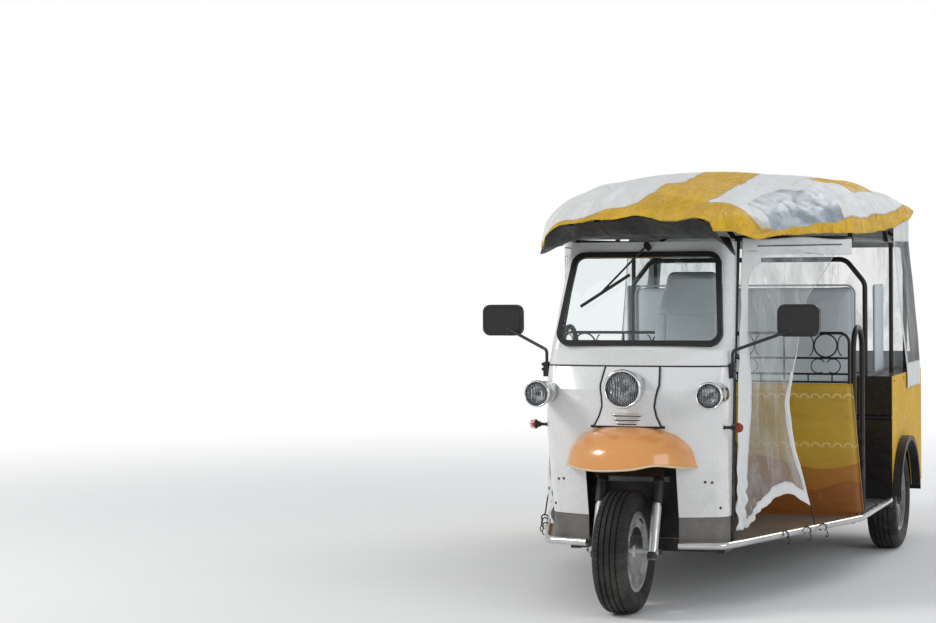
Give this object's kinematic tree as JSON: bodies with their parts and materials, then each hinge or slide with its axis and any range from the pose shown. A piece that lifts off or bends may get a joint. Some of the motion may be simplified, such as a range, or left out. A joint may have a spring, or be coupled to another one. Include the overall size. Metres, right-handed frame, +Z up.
{
  "type": "auto rickshaw",
  "caption": "Three-wheeled passenger auto rickshaw with a fabric canopy, open sides, a partition behind the driver, a padded bench and a steered front wheel on a raked fork.",
  "frame": {"origin": "middle of the bounding box at ground level", "axes": "+X to the vehicle's left, the front faces -Y, +Z up"},
  "size_m": [1.66, 3.48, 1.9649],
  "materials": {
    "frame_black": "satin",
    "body_white": "gloss",
    "body_yellow": "gloss",
    "guard_orange": "gloss",
    "trim_grey": "matte",
    "trim_black": "satin",
    "floor_sheet": "patterned",
    "bright_tube": "polished",
    "fork_silver": "satin",
    "rim_silver": "cast",
    "axle_steel": "painted",
    "seal_rubber": "matte",
    "tyre_rubber": "matte",
    "screen_glass": "clear",
    "lamp_chrome": "polished",
    "lamp_amber": "clear",
    "lamp_red": "clear",
    "cover_fabric": "coated cloth",
    "curtain_fabric": "coated cloth",
    "seat_vinyl": "vinyl",
    "pad_mustard": "vinyl"
  },
  "bodies": {
    "chassis": {"bench_back": "seat_vinyl", "bench_box": "frame_black", "bench_cushion": "seat_vinyl", "canopy": "cover_fabric", "chassis_frame": "frame_black", "dashboard": "trim_black", "drive_motor": "axle_steel", "driver_back": "seat_vinyl", "driver_cushion": "seat_vinyl", "driver_seat_box": "frame_black", "fender_flares": "trim_black", "floor_pan": "floor_sheet", "front_cowl": "body_white", "front_curtains": "curtain_fabric", "grab_hoops": "frame_black", "headlamp": "lamp_chrome", "indicators": "lamp_amber", "leaf_springs": "axle_steel", "mirrors": "trim_black", "mudguard": "guard_orange", "nose_panel": "body_white", "partition": "pad_mustard", "quarter_panels": "body_yellow", "rack": "frame_black", "rear_axle": "axle_steel", "rear_bumper": "frame_black", "rear_cover": "curtain_fabric", "rear_tub": "frame_black", "roll_hoop": "frame_black", "roof_frame": "frame_black", "screen_panel": "body_white", "side_lamps": "lamp_chrome", "side_pads": "seat_vinyl", "side_tubes": "bright_tube", "skirts": "trim_grey", "tail_lamps": "lamp_red", "tail_panel": "body_yellow", "wheelhouse": "trim_black", "windscreen_glass": "screen_glass", "windscreen_seal": "seal_rubber", "wiper": "trim_black"},
    "steering": {"fork": "fork_silver", "handlebar": "bright_tube", "grips": "seal_rubber"},
    "front_wheel": {"front_tyre": "tyre_rubber", "front_rim": "rim_silver", "brake_disc": "bright_tube"},
    "rear_wheel_left": {"rear_tyre_left": "tyre_rubber", "rear_rim_left": "rim_silver"},
    "rear_wheel_right": {"rear_tyre_right": "tyre_rubber", "rear_rim_right": "rim_silver"}
  },
  "joints": [
    {"name": "steering", "type": "hinge", "parent": "chassis", "child": "steering", "pos_m": [0, -1.24382, 0.8], "axis": [0, 0.342, 0.9397], "range_deg": [-35, 35]},
    {"name": "front_wheel_spin", "type": "hinge", "parent": "steering", "child": "front_wheel", "pos_m": [0, -1.475, 0.265], "axis": [1, 0, 0], "continuous": true},
    {"name": "rear_wheel_left_spin", "type": "hinge", "parent": "chassis", "child": "rear_wheel_left", "pos_m": [0.712, 0.975, 0.265], "axis": [1, 0, 0], "continuous": true},
    {"name": "rear_wheel_right_spin", "type": "hinge", "parent": "chassis", "child": "rear_wheel_right", "pos_m": [-0.712, 0.975, 0.265], "axis": [1, 0, 0], "continuous": true}
  ]
}
